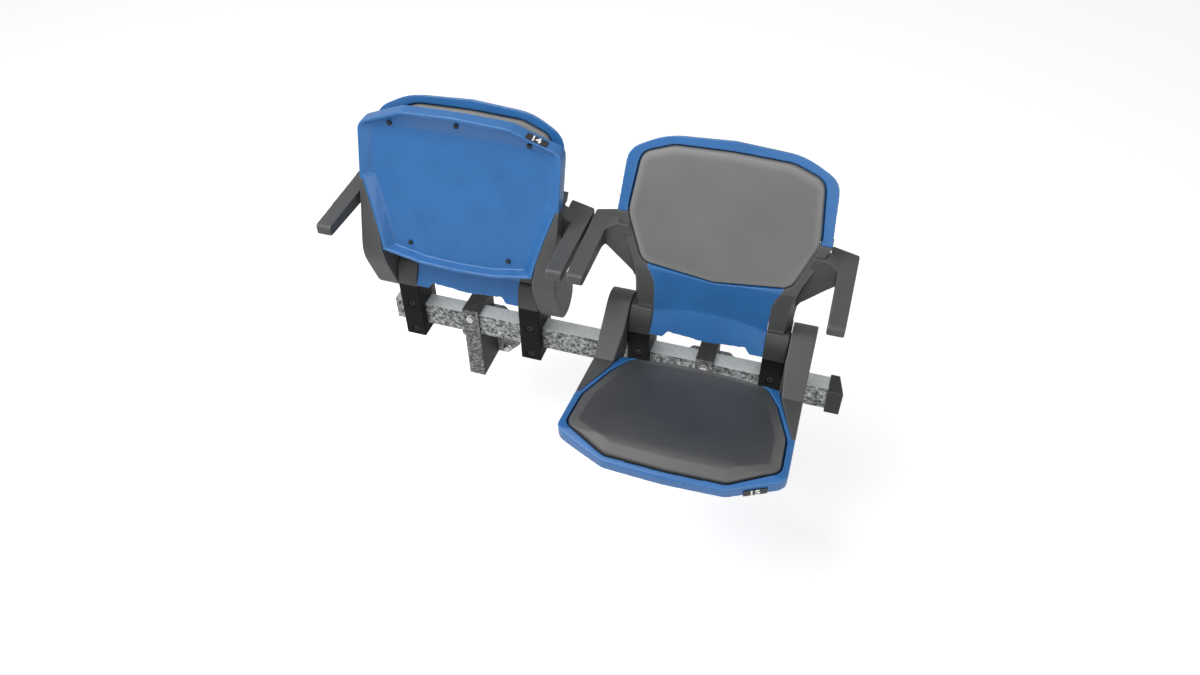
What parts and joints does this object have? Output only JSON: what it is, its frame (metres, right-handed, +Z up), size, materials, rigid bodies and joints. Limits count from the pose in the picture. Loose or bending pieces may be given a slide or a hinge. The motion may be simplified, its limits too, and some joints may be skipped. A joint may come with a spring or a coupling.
{
  "type": "two-seat length of tip-up stadium seating",
  "caption": "Beam-mounted stadium seats with padded plastic backs, armrests and seats that tip up on side pivots, fixed to a riser by wall brackets.",
  "frame": {"origin": "on the riser's face, midway between the two wall brackets and at the middle height of their wall plates", "axes": "+X along the beam towards the sitter's left (the viewer's right), +Y into the riser, +Z up"},
  "size_m": [1.1469, 0.5211, 0.7126],
  "materials": {
    "galvanised_steel": "hot-dip galvanised, with a fine spangle",
    "dark_steel": "dark grey coat on folded sheet, galvanised front face",
    "zinc_steel": "bright zinc plate",
    "black_plastic": "moulded glass-filled nylon, fine grain",
    "blue_plastic": "moulded polypropylene, soft sheen",
    "board": "plywood insert",
    "back_pad_cover": "mid-grey coated fabric over foam",
    "seat_pad_cover": "dark grey coated fabric over foam",
    "acetal": "black acetal",
    "label_plastic": "two-colour engraved laminate"
  },
  "bodies": {
    "section": {"beam": "galvanised_steel", "beam_end_cap": "black_plastic", "wall_bracket_left": "dark_steel", "wall_plate_left": "galvanised_steel", "bracket_bolt_left": "zinc_steel", "bracket_nut_left": "zinc_steel", "wall_bracket_right": "dark_steel", "wall_plate_right": "galvanised_steel", "bracket_bolt_right": "zinc_steel", "bracket_nut_right": "zinc_steel", "upright_1_right": "black_plastic", "upright_1_left": "black_plastic", "rear_clamp_1_right": "black_plastic", "rear_clamp_1_left": "black_plastic", "clamp_bolt_upper_1_right": "zinc_steel", "clamp_bolt_upper_1_left": "zinc_steel", "clamp_bolt_lower_1_right": "zinc_steel", "clamp_bolt_lower_1_left": "zinc_steel", "pivot_pin_1_right": "zinc_steel", "pivot_pin_1_left": "zinc_steel", "side_frame_1_right": "black_plastic", "side_frame_1_left": "black_plastic", "armrest_1_right": "black_plastic", "armrest_1_left": "black_plastic", "back_shell_1": "blue_plastic", "back_pad_board_1": "board", "back_pad_1": "back_pad_cover", "upright_2_right": "black_plastic", "upright_2_left": "black_plastic", "rear_clamp_2_right": "black_plastic", "rear_clamp_2_left": "black_plastic", "clamp_bolt_upper_2_right": "zinc_steel", "clamp_bolt_upper_2_left": "zinc_steel", "clamp_bolt_lower_2_right": "zinc_steel", "clamp_bolt_lower_2_left": "zinc_steel", "pivot_pin_2_right": "zinc_steel", "pivot_pin_2_left": "zinc_steel", "side_frame_2_right": "black_plastic", "side_frame_2_left": "black_plastic", "armrest_2_right": "black_plastic", "armrest_2_left": "black_plastic", "back_shell_2": "blue_plastic", "back_pad_board_2": "board", "back_pad_2": "back_pad_cover"},
    "seat_1": {"hinge_arm_1_right": "black_plastic", "pivot_bush_1_right": "acetal", "hinge_arm_1_left": "black_plastic", "pivot_bush_1_left": "acetal", "seat_shell_1": "blue_plastic", "seat_pad_board_1": "board", "seat_pad_1": "seat_pad_cover", "number_plate_1": "label_plastic"},
    "seat_2": {"hinge_arm_2_right": "black_plastic", "pivot_bush_2_right": "acetal", "hinge_arm_2_left": "black_plastic", "pivot_bush_2_left": "acetal", "seat_shell_2": "blue_plastic", "seat_pad_board_2": "board", "seat_pad_2": "seat_pad_cover", "number_plate_2": "label_plastic"}
  },
  "joints": [
    {"name": "seat_1_tip", "type": "hinge", "parent": "section", "child": "seat_1", "pos_m": [-0.277, -0.0745, 0.211], "axis": [1, 0, 0], "range_deg": [0, 94.5]},
    {"name": "seat_2_tip", "type": "hinge", "parent": "section", "child": "seat_2", "pos_m": [0.283, -0.0745, 0.211], "axis": [1, 0, 0], "range_deg": [-94.5, 0]}
  ]
}
